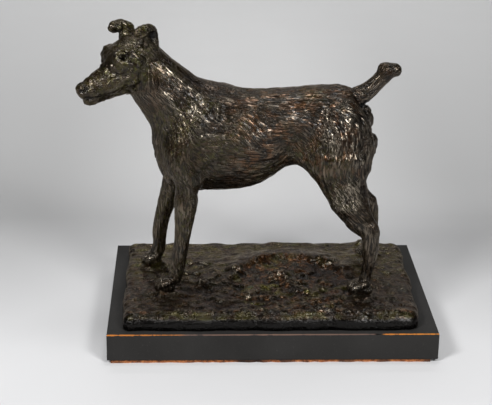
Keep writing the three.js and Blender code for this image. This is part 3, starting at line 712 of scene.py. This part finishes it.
def make_dog():
    low, high = np.array((-202.0, -66.0, 37.0)), np.array((138.0, 68.0, 326.0))
    points, quads = skinned(sampled(low, high), low)
    points, normal, (crease, bay) = settled(points, depth_at, 2, 0.9)
    angle = lie(points)
    flow = np.stack([np.cos(angle), 0 * angle, np.sin(angle)], 1)
    flow -= (flow * normal).sum(1)[:, None] * normal
    flow /= np.linalg.norm(flow, axis=1)[:, None] + 1e-6

    x, _, z = points.T
    # Shares between 0 and 1 of the parts of the figure that were worked differently
    ahead = (points - HEAD_AT) @ HEAD_AXES.T
    on_head = smooth_step(-(x + 118) - 0.5 * (290 - z), -12, 6)
    face = on_head * smooth_step(ahead[:, 0], 0, 14)
    legs = smooth_step(-z, -150, -130)
    toes = smooth_step(-z, -62, -54)
    band = bump(points, (69, 0, 180), (17, 90, 8))
    haunch = bump(points, (76, 0, 214), (26, 90, 26))
    seat = smooth_step(x, 88, 98) * smooth_step(z, 160, 175) * smooth_step(-z, -238, -226)
    # Where highlights are painted in streaks: on the haunch and above the hock
    highlight_patch = np.maximum(haunch, bump(points, (79, 0, 153), (13, 90, 17)))
    # How strongly the tool marked the wax, and the strands and lumps that it left, in mm
    lively = 1 - 0.25 * legs - 0.5 * face - 0.3 * on_head - 0.75 * band + 0.5 * highlight_patch
    depth = 0.5 + 0.45 * smooth_step(noise(points, 24, 7.1), -0.5, 0.6)
    coarse = strands(points, flow, COARSE_SPAN, 6.5, 1.7)
    fine = strands(points, flow, FINE_SPAN, 4.5, 5.2)
    coat = (coarse * 0.75 + fine * 0.55) * depth * lively
    lumps = noise(points, 7.5, 2.4) * (0.3 + 0.65 * face + 0.5 * haunch) + noise(points, 15, 9.2) * 0.5
    lumps += (seat + 0.5 * haunch) * noise(points, 5.5, 6.6) + 0.5 * toes * noise(points, 3.5, 1.9)
    lumps += on_head * (noise(points, 3.6, 8.3) * 0.9 + np.abs(noise(points, 2.7, 4.1)) * 0.8)
    lumps += legs * (noise(points * np.array((1, 1, 0.6)), 4, 3.6) * 0.7)
    pressed = sum(high * stroke(points, knots, wide) for high, wide, knots in STROKES) * (1 - 0.7 * on_head)
    ledges = sum(high * stroke(points, knots, wide) for high, wide, knots in LEDGES)
    # The folded ear: the lower edge of its flap, raised, with a painted highlight and red-brown along it
    fold = ahead + np.outer(ahead[:, 0], (0, 0, 0.34))
    ear_edge = bump(fold, (-10.5, 28, 30.3), (6.5, 4, 1.2))
    relief = coat + lumps * (1 - 0.4 * legs) * 0.75 + pressed + ledges + 0.8 * ear_edge
    points = points + normal * relief[:, None]

    # Paler where the raised coat, lumps and strokes are worn; paler on the legs and toes, worn and with painted
    # highlights; painted highlights in streaks on the haunch and above the hock, and along the ear's folded edge
    worn_and_highlight = (0.1 + 0.2 * legs + 0.2 * toes + coat * 0.42 + 0.25 * lumps + 0.7 * pressed
           + 1.2 * highlight_patch * np.clip(0.35 + 2.4 * coat, 0, 1) + 1.3 * ear_edge)
    # Painted shade: dark in the grooves and low places of the relief, partly dark patina there, in the creases and
    # shut-in places, and inside the ear
    hollow = np.clip(-coat * 0.9 - 0.2 * lumps - 0.5 * pressed, 0, 1) * 0.7 + 1.1 * crease + 0.35 * bay
    hollow += 1.6 * bump(ahead, (-19.4, 22.3, 28), (3, 4.5, 5.5))
    patch = smooth_step(noise(points, 26, 4.4), -0.2, 0.5)
    green = 0.45 * patch * (1 - highlight_patch) + 0.5 * on_head + 0.6 * bump(points, (-98, 0, 196), (26, 60, 40))
    green += 0.45 * bump(points, (-92, 0, 140), (22, 60, 50))
    red = 0.2 + 0.65 * smooth_step(x, -60, -20) * smooth_step(-x, -92, -84) * smooth_step(z, 150, 180) - 0.8 * band
    red += 0.8 * ear_edge
    piece = mesh_object("bronze_dog", points, quads, bronze("patinated bronze, chased", True),
                        "bronze_terrier")
    paint(piece, "wear", worn_and_highlight, hollow, green, red)
    shares = [np.clip(np.cos(2 * (angle - math.radians(a))), 0, 1) ** 2 * lively for a in RAKES]
    paint(piece, "lay", *shares)
    thin_out(piece)


make_dog()


# Ground: half its length, its front and back edges, and the radius of its corners
HALF, FRONT, BACK, CORNER = 151.5, 107.5, 93.0, 9.0
# A bank that curves round a rough hollow: middle and half sizes of the curve, its height, how steeply it falls
# inwards and outwards. Rounded swells: height, x, y, half x, half y. Ridges: height, from, to, half width.
# Ripples over it all: height, length, direction in degrees
BANK = {"x": 22, "y": -33, "rx": 64, "ry": 74, "high": 8, "inner": 0.11, "outer": 0.36}
SWELLS = (
    (3.4, -50, -98, 90, 8), (3, 85, -97, 70, 8), (-2.5, -30, 70, 130, 14), (1, 40, 86, 60, 10),
    (-1.2, 130, 0, 20, 60), (-1.6, -95, 0, 22, 18), (1.5, 118, 30, 18, 14), (-1.8, 55, -20, 18, 22),
    (2.4, -107, -37, 17, 14), (2.2, -122, 34, 17, 14), (2.6, 92, -47, 18, 14), (7, 110, 54, 17, 14),
    (9, 109, 82, 7, 9), (3.4, -33, 0, 7, 6), (4, 8, -7, 7, 6), (2.6, 36, 6, 8, 6), (2.4, -12, -52, 12, 8),
    (2.2, 62, -54, 9, 8), (1.8, 126, -98, 12, 7))
RIDGES = (
    (2.6, 14, -2, 21, -32, 5), (2.6, 21, -32, 38, -52, 5), (2.2, -93, -22, -70, -32, 5),
    (2.2, -70, -32, -50, -12, 6), (2, -64, -62, -46, -72, 5), (1.8, -112, -50, -88, -54, 5),
    (1.6, -86, 40, -44, 14, 7), (1.6, -104, 10, -60, 4, 6), (1.8, 70, -60, 98, -68, 5), (1.4, 104, -10, 140, -30, 8))
RIPPLES = ((0.35, 33, 20), (0.3, 29, 78), (0.3, 37, 133), (0.3, 17, 52), (0.3, 15, 105), (0.3, 19, 163))


def bank_radius(x, y):
    return np.hypot((x - BANK["x"]) / BANK["rx"], (y - BANK["y"]) / BANK["ry"])


def ridge(x, y, start, end, wide):
    """1 on the line from start to end, falling to 0 beside it."""
    (ax, ay), (bx, by) = start, end
    run = (bx - ax) ** 2 + (by - ay) ** 2
    t = np.clip(((x - ax) * (bx - ax) + (y - ay) * (by - ay)) / run, 0, 1)
    return np.exp(-((x - ax - t * (bx - ax)) ** 2 + (y - ay - t * (by - ay)) ** 2) / wide ** 2)


def ground_top(x, y):
    z = np.full(x.shape, GROUND_LEVEL)
    out = bank_radius(x, y) - 1
    fall = np.exp(-(out / np.where(out < 0, BANK["inner"], BANK["outer"])) ** 2)
    z += BANK["high"] * fall * np.clip(0.62 + y / 60, 0.12, 1)
    for rise, cx, cy, rx, ry in SWELLS:
        z += rise * np.exp(-((x - cx) / rx) ** 2 - ((y - cy) / ry) ** 2)
    for rise, ax, ay, bx, by, wide in RIDGES:
        z += rise * ridge(x, y, (ax, ay), (bx, by), wide)
    for i, (rise, span, angle) in enumerate(RIPPLES):
        c, s = math.cos(math.radians(angle)), math.sin(math.radians(angle))
        sway = 1.2 * np.sin(2 * math.pi * (y * c - x * s) / (span * 1.6) + i)
        z += rise * np.sin(2 * math.pi * (x * c + y * s) / span + i * 1.7 + sway)
    return z


def ground_depth(p):
    x, y, z = p.T
    waver = 1.6 * np.sin(x * 0.071 + 1) + 1.1 * np.sin(x * 0.167 + y * 0.05) + 0.9 * np.sin(y * 0.11 + 2)
    s = (z - GROUND_UNDER) / 17
    roll = s ** 3 + 0.16 * (1 - s) ** 2
    narrowing = np.where(x > 0, 1.2 + 0.00013 * (BACK - y) ** 2, 0)
    end = HALF + 1.2 * np.sin(y * 0.09 + np.where(x > 0, 2, 0)) - 4 * roll - narrowing
    edge = np.where(y < 0, FRONT + 0.4 * waver - 6.5 * roll, BACK + 0.6 * waver - 6 * roll)
    fx, fy = np.abs(x - 1) - end + CORNER, np.abs(y) - edge + CORNER
    side = np.hypot(np.maximum(fx, 0), np.maximum(fy, 0)) - CORNER + np.minimum(np.maximum(fx, fy), 0)
    d = cut(side, -(z - ground_top(x, y)) * 0.93, 6)
    return np.maximum(d, GROUND_UNDER - z)


# Clods and scraped edges that catch the light: height, half width, and where each starts and ends. Their
# heights stand this many times over
CLOD_GROWTH = 1.5
CLODS = (
    (1.6, 1.8, (-37, 1), (-30, -1)), (1.8, 2, (6, -4), (12, -9)), (1.5, 1.6, (14, -2), (18, -18)),
    (1.4, 1.6, (18, -18), (26, -26)), (1.5, 1.6, (26, -26), (38, -50)), (1.3, 1.6, (-94, -22), (-72, -31)),
    (1.4, 1.6, (-72, -31), (-52, -13)), (1.2, 1.5, (-66, -44), (-44, -46)), (1.3, 1.6, (-60, -62), (-52, -71)),
    (1.2, 1.6, (-30, -52), (-14, -48)), (1.2, 1.5, (-8, -30), (2, -36)), (1.3, 1.7, (34, -2), (44, 2)),
    (1.2, 1.5, (50, -30), (58, -42)), (1.4, 1.6, (70, -56), (76, -64)), (1.3, 1.8, (84, -60), (96, -63)),
    (1.2, 1.6, (104, -30), (112, -36)), (1.1, 1.6, (-112, -50), (-96, -53)), (1.2, 1.5, (-128, -60), (-118, -58)),
    (1.3, 1.6, (20, -64), (32, -68)), (1.1, 1.6, (-20, -72), (-8, -70)), (1.2, 1.6, (112, -70), (124, -76)),
    (1.3, 1.5, (-84, 30), (-60, 20)), (1.1, 1.5, (-100, 8), (-74, 2)), (1.1, 1.5, (118, 10), (130, 4)))


def make_ground():
    low, high = np.array((-158.0, -114.0, 30.3)), np.array((160.0, 104.0, 62.0))
    points, quads = skinned(on_grid(ground_depth, low, high, CELL), low)
    points, normal, (crease, bay) = settled(points, ground_depth, 1, 0.8)
    x, y, z = points.T
    upper = smooth_step(z, 33, 38)
    # Inside the bank the ground was torn rough, behind it and on the left it was stroked smooth
    round_bank = bank_radius(x, y)
    inside = smooth_step(-round_bank, -1.02, -0.86) * smooth_step(z, 40, 44)
    wall = inside * smooth_step(round_bank, 0.62, 0.76) * smooth_step(y, -40, -12)
    torn = inside * (1 - 0.8 * wall)
    front_rim = smooth_step(-y, 82, 92) * smooth_step(z, 46, 48.5)
    smooth_back = smooth_step(round_bank, 1.05, 1.3) * smooth_step(y, -20, 10)
    crests = 0.5 - np.abs(noise(points, 11, 3.9)) * 1.6
    rough = (noise(points, 9, 1.1) * 1.1 + crests * 1.3 + noise(points, 5, 5.5) * 1.2
             + np.abs(noise(points, 3.8, 8.8)) * 0.8)
    drag = noise(points * np.array((0.3, 1, 1)), 3.1, 2.2) * 0.4
    nubs = np.maximum(noise(points, 3.6, 4.7), 0) * 2.4
    back_drag = noise(points * np.array((0.16, 1, 1)), 2.6, 7.7) * 0.6
    front_face = smooth_step(-y, 92, 99)
    relief = upper * (rough * (0.5 + 0.6 * torn - 0.4 * smooth_back - 0.35 * wall - 0.42 * front_face) + drag
                      + back_drag * smooth_back + nubs * front_rim)
    for high, wide, start, end in CLODS:
        relief += CLOD_GROWTH * high * ridge(x, y, start, end, wide)
    points = points + normal * relief[:, None]
    points[:, 2] = np.maximum(points[:, 2], GROUND_UNDER)
    # The flat underside needs no small faces
    under = (points[quads][:, :, 2] < GROUND_UNDER + 0.01).all(1)
    piece = mesh_object("bronze_ground", points, quads[~under], bronze("patinated bronze, rough ground", False),
                        "bronze_terrier")
    olive_band = front_face * smooth_step(z, 39, 43) * smooth_step(-z, -50, -47.5)
    # The rim, worn to the orange-brown metal along most of the front
    rim_line = np.exp(-((y + 96 + 1.5 * noise(points, 30, 1.3)) / 1.8) ** 2) * smooth_step(z, 46, 47.5)
    rim_line *= smooth_step(noise(points, 14, 3.1), -0.6, -0.1)
    # Paler on raised places where worn and on the worn rim line; paler along the front rim, which is wear and a
    # painted highlight; paler behind the bank, a painted reflection
    worn_and_highlight = 0.4 * relief - 0.1 + 0.3 * smooth_back - 0.3 * olive_band + 0.3 * front_rim + 0.3 * rim_line
    deep = smooth_step(-noise(points, 22, 5.9), -0.1, 0.5)
    # Darker in random clouds of dark patina; painted shade in the creases, shut-in places and low spots, and on the
    # right of the bank's inner wall; darker on the front face and more so towards its bottom; kept light on the rim
    # line
    hollow = (np.maximum(-relief * 0.5, 0) + crease + 0.5 * bay + 0.35 * deep * (1 - olive_band) + 0.55 * front_face
              + 0.5 * wall * smooth_step(x, 30, 62) - 0.6 * rim_line
              + 0.95 * smooth_step(-z, -44.5, -40) * front_face)
    ochre = inside * smooth_step(noise(points, 19, 2.9), -0.1, 0.3)
    # Olive on the front band and in ochre patches inside the bank; the green behind the bank is part of the painted
    # reflection
    green = (0.1 + 0.7 * olive_band * smooth_step(noise(points, 20, 6.1), -0.6, 0.2) + 0.45 * smooth_back
             + 0.9 * ochre - rim_line)
    red = 0.25 + 0.9 * inside - 0.5 * ochre + 3 * rim_line
    paint(piece, "wear", worn_and_highlight, hollow, green, red)
    closing = bmesh.new()
    closing.from_mesh(piece.data)
    loose = [v for v in closing.verts if not v.link_faces]
    bmesh.ops.delete(closing, geom=loose, context="VERTS")
    bmesh.ops.contextual_create(closing, geom=[e for e in closing.edges if e.is_boundary])
    closing.to_mesh(piece.data)
    closing.free()
    thin_out(piece)


make_ground()


# Board and lining: the board's front, top and ends, and how wide its bare edge is at most, in mm
BOARD_FRONT, BOARD_TOP, BOARD_END = -114.2, 31.3, 165.0
BARE_WOOD = 1.9


def black_board():
    """Board with a black-dyed face, sawn and sanded: nearly flat black, grey with dust and rubbing, with the
    orange-brown wood bare along the worn front edge towards its ends, a grey-pink painted highlight on the worn edge
    along the middle, and one deep chip in it."""
    made, tree, place = material("black-faced board")
    specks = add(tree, "ShaderNodeTexNoise", Vector=place, Scale=420.0, Detail=3.0)
    cloud = add(tree, "ShaderNodeTexNoise", Vector=place, Scale=14.0, Detail=4.0)
    base = add(tree, "ShaderNodeValToRGB", {"stops": ((0.3, "#2a2928"), (0.7, "#333231"))}, Fac=cloud)
    dust = add(tree, "ShaderNodeValToRGB", {"stops": ((0.64, 0.0), (0.76, 0.45))}, Fac=specks)

    # Bare wood within about 1.4 mm of the upper front edge, wandering in width and broken by chips; along the middle
    # the strip is grey-pink, where the edge is worn and a highlight is painted
    axes = add(tree, "ShaderNodeSeparateXYZ", Vector=place).outputs
    back = add(tree, "ShaderNodeMath", MINUS, _0=axes["Y"], _1=BOARD_FRONT * MM)
    down = add(tree, "ShaderNodeMath", MINUS, _0=BOARD_TOP * MM, _1=axes["Z"])
    away = add(tree, "ShaderNodeMath", {"operation": "ADD"}, _0=back, _1=down)
    along = add(tree, "ShaderNodeMapping", {"vector_type": "POINT"}, Vector=place, Scale=(1, 0.1, 0.1))
    wander = add(tree, "ShaderNodeTexNoise", Vector=along, Scale=150.0, Detail=5.0, Roughness=0.75)
    length = add(tree, "ShaderNodeMapRange", Value=axes["X"], From_Min=-BOARD_END * MM, From_Max=BOARD_END * MM)
    wide = add(tree, "ShaderNodeMath", TIMES, _0=wander, _1=BARE_WOOD * MM)
    bare = add(tree, "ShaderNodeMath", {"operation": "LESS_THAN"}, _0=away, _1=wide)
    # Orange-brown wood towards the ends, a grey-pink painted highlight on the worn edge along the middle, and a dark
    # chip
    wood = add(tree, "ShaderNodeValToRGB", {"stops": (
        (0.0, "#b56f30"), (0.2, "#9c6232"), (0.24, "#5d4c45"), (0.5, "#6d564b"), (0.8, "#5d4c45"), (0.81, "#0c0a09"),
        (0.825, "#0c0a09"), (0.835, "#b56f30"), (1.0, "#b9752f"))}, Fac=length)
    for amount, shade in ((dust, colour("#565350")), (bare, wood)):
        base = add(tree, "ShaderNodeMix", {"data_type": "RGBA"}, _0=amount, _6=base, _7=shade).outputs[2]
    relief = add(tree, "ShaderNodeBump", Height=specks, Strength=0.3, Distance=0.0004)
    shader = add(tree, "ShaderNodeBsdfPrincipled", Base_Color=base, Roughness=0.62,
                 Specular_IOR_Level=0.05, Normal=relief)
    add(tree, "ShaderNodeOutputMaterial", Surface=shader)
    return made


def torn_sheet():
    """Orange-brown backing sheet, torn by hand: matt fibres, paler where it tore, dark where dirt stuck."""
    made, tree, place = material("torn backing sheet")
    fibres = add(tree, "ShaderNodeTexNoise", Vector=place, Scale=260.0, Detail=5.0, Roughness=0.7)
    blots = add(tree, "ShaderNodeTexNoise", Vector=place, Scale=34.0, Detail=3.0)
    base = add(tree, "ShaderNodeValToRGB", {"stops": ((0.35, "#4a2a18"), (0.5, "#94552c"), (0.66, "#bd7b46"))},
               Fac=fibres)
    dirt = add(tree, "ShaderNodeValToRGB", {"stops": ((0.52, 0.0), (0.62, 0.75))}, Fac=blots)
    # A stretch left of the middle painted nearly black
    across = add(tree, "ShaderNodeSeparateXYZ", Vector=place).outputs["X"]
    length = add(tree, "ShaderNodeMapRange", Value=across, From_Min=-BOARD_END * MM, From_Max=BOARD_END * MM)
    black_stretch = add(tree, "ShaderNodeValToRGB", {"stops": ((0.37, 0.0), (0.4, 0.9), (0.46, 0.9), (0.49, 0.0))},
                Fac=length)
    for amount, shade in ((dirt, "#2a1c14"), (black_stretch, "#0f0c0a")):
        base = add(tree, "ShaderNodeMix", {"data_type": "RGBA"}, _0=amount, _6=base, _7=colour(shade)).outputs[2]
    relief = add(tree, "ShaderNodeBump", Height=fibres, Strength=0.6, Distance=0.0005)
    shader = add(tree, "ShaderNodeBsdfPrincipled", Base_Color=base, Roughness=0.9, Normal=relief)
    add(tree, "ShaderNodeOutputMaterial", Surface=shader)
    return made


for node, finish in (("plinth_board", black_board()), ("underside_lining", torn_sheet())):
    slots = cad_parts[node].data.materials
    slots.clear()
    slots.append(finish)


# Room and light
def pale_floor():
    """Matt paper sweep: nearly white in front, greyer where it runs back under the object and rises, a painted
    fall-off of the light, with two soft painted shadows behind the object to either side.
    """
    made, tree, place = material("matt paper sweep")
    axes = add(tree, "ShaderNodeSeparateXYZ", Vector=place).outputs
    fibre = add(tree, "ShaderNodeTexNoise", Vector=place, Scale=9.0, Detail=5.0)
    # Painted fall-off of the light: greyer further back, paler again up the sweep
    depth = add(tree, "ShaderNodeMapRange", Value=axes["Y"], From_Min=-0.4, From_Max=1.6)
    base = add(tree, "ShaderNodeValToRGB", {"stops": (
        (0.0, "#dcdcdd"), (0.16, "#d8d8d9"), (0.3, "#d2d2d3"), (0.42, "#cecece"), (1.0, "#dadada"))},
        Fac=depth)
    # Two soft painted shadows behind the object, to either side
    aside = add(tree, "ShaderNodeMath", {"operation": "ABSOLUTE"}, _0=axes["X"])
    side = add(tree, "ShaderNodeMapRange", SMOOTH, Value=aside, From_Min=0.06, From_Max=0.3)
    beyond = add(tree, "ShaderNodeValToRGB", {"stops": ((0.16, 0.0), (0.34, 0.75), (0.5, 0.5), (1.0, 0.0))},
                 Fac=depth)
    painted_side_shadows = add(tree, "ShaderNodeMath", TIMES, _0=side, _1=beyond)
    shade = add(tree, "ShaderNodeValToRGB", {"stops": ((0.3, 0.0), (0.7, 0.06))}, Fac=fibre)
    for amount, grey in ((painted_side_shadows, "#9a9a9a"), (shade, "#b8b8b8")):
        base = add(tree, "ShaderNodeMix", {"data_type": "RGBA"}, _0=amount, _6=base, _7=colour(grey)).outputs[2]
    shader = add(tree, "ShaderNodeBsdfPrincipled", Base_Color=base, Roughness=0.9)
    add(tree, "ShaderNodeOutputMaterial", Surface=shader)
    return made


def make_floor(near=-2.2, far=1.5, width=8.0, bend=0.6, rise=3.0):
    profile = [(near, 0.0), (far, 0.0)]
    profile += [(far + bend * math.sin(a), bend * (1 - math.cos(a))) for a in np.linspace(0, math.pi / 2, 17)[1:]]
    profile.append((far + bend, rise))
    points = [(x, y, z) for y, z in profile for x in (-width / 2, width / 2)]
    faces = [(2 * i, 2 * i + 1, 2 * i + 3, 2 * i + 2) for i in range(len(profile) - 1)]
    mesh = bpy.data.meshes.new("floor")
    mesh.from_pydata(points, [], faces)
    mesh.polygons.foreach_set("use_smooth", [True] * len(faces))
    mesh.materials.append(pale_floor())
    floor = bpy.data.objects.new("floor", mesh)
    bpy.context.collection.objects.link(floor)


make_floor()


def softbox(name, place, aim, size, power):
    light = bpy.data.lights.new(name, "AREA")
    light.shape = "RECTANGLE"
    light.size, light.size_y = size
    light.energy = power
    lamp = bpy.data.objects.new(name, light)
    lamp.location = place
    lamp.rotation_mode = "QUATERNION"
    lamp.rotation_quaternion = (Vector(aim) - Vector(place)).to_track_quat("-Z", "Y")
    bpy.context.collection.objects.link(lamp)


softbox("softbox_left", (-0.85, -1.0, 1.25), (0, 0, 0.15), (0.4, 0.4), 19.5)
softbox("softbox_right", (0.65, -1.2, 1.15), (0, 0, 0.15), (0.4, 0.4), 15.5)
softbox("softbox_low", (0.45, -1.8, 0.55), (0, 0, 0.15), (0.18, 0.2), 2.4)
softbox("softbox_above", (0.1, 0.1, 1.7), (0, 0, 0.1), (0.4, 0.3), 4.5)
softbox("softbox_far", (0, 0.9, 1.5), (0, 2.0, 0.1), (1.6, 0.4), 13.5)

world = bpy.data.worlds.new("studio")
world.use_nodes = True
world.node_tree.nodes["Background"].inputs["Color"].default_value = colour("#dfe2e6")
world.node_tree.nodes["Background"].inputs["Strength"].default_value = 0.08
bpy.context.scene.world = world
bpy.context.scene.view_settings.view_transform = "Standard"
